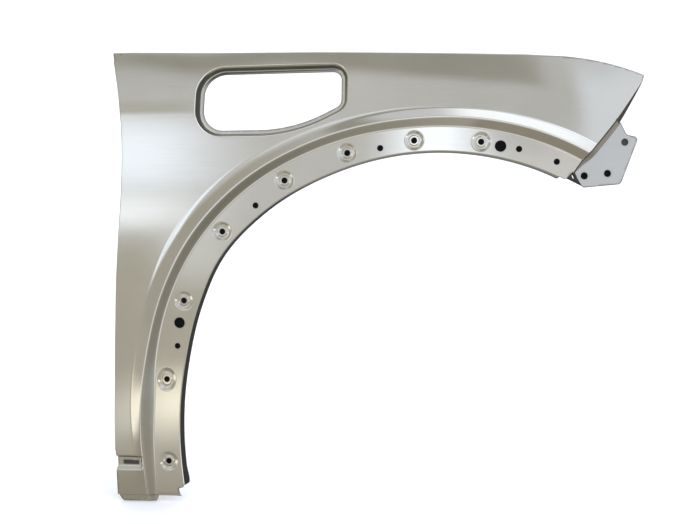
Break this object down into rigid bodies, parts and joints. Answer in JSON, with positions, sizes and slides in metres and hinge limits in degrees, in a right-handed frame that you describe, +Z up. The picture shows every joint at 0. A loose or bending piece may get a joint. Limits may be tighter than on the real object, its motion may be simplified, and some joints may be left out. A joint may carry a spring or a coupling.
{
  "type": "car fender",
  "caption": "Right front fender of a car: stamped sheet panel with a flared wheel arch, a side vent opening, a drilled cladding flange and a welded front bracket.",
  "frame": {"origin": "on the upper face of the rail flange, between its bolt tabs, where the fender bolts to the inner wing", "axes": "+X to the front of the car, -Y outboard, +Z up; as fitted on the car"},
  "size_m": [0.8642, 0.0701, 0.7524],
  "materials": {
    "panel": "satin silver-beige",
    "bracket": "satin grey"
  },
  "bodies": {
    "root": {"fender_panel": "panel", "front_bracket": "bracket"}
  },
  "joints": []
}
